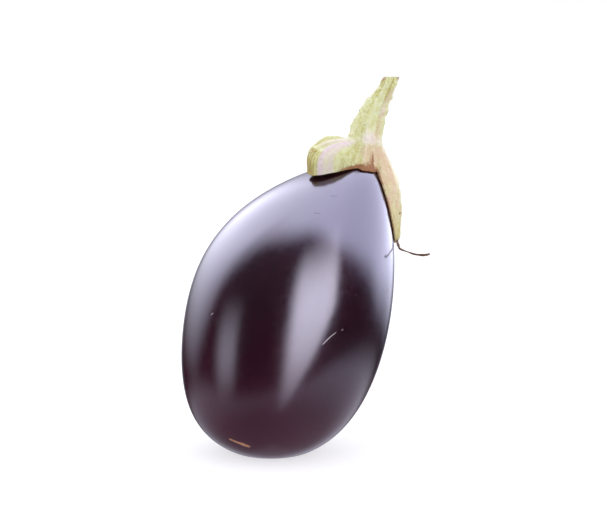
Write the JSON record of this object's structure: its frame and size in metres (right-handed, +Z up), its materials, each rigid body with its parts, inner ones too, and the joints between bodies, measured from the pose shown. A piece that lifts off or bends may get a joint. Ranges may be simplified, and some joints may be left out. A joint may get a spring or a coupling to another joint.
{
  "type": "eggplant",
  "caption": "Whole globe eggplant as picked, with glossy skin, a leafy green cap and a short cut stem, standing on a small flat spot.",
  "frame": {"origin": "middle of the small flat spot that the fruit rests on", "axes": "+Z up through the leaning fruit to its stem, -Y the front, +X the side that the fruit leans to"},
  "size_m": [0.1099, 0.0901, 0.1667],
  "materials": {
    "skin": null,
    "calyx_green": null,
    "stem_green": null
  },
  "bodies": {
    "root": {"fruit": "skin", "calyx": "calyx_green", "stem": "stem_green"}
  },
  "joints": []
}
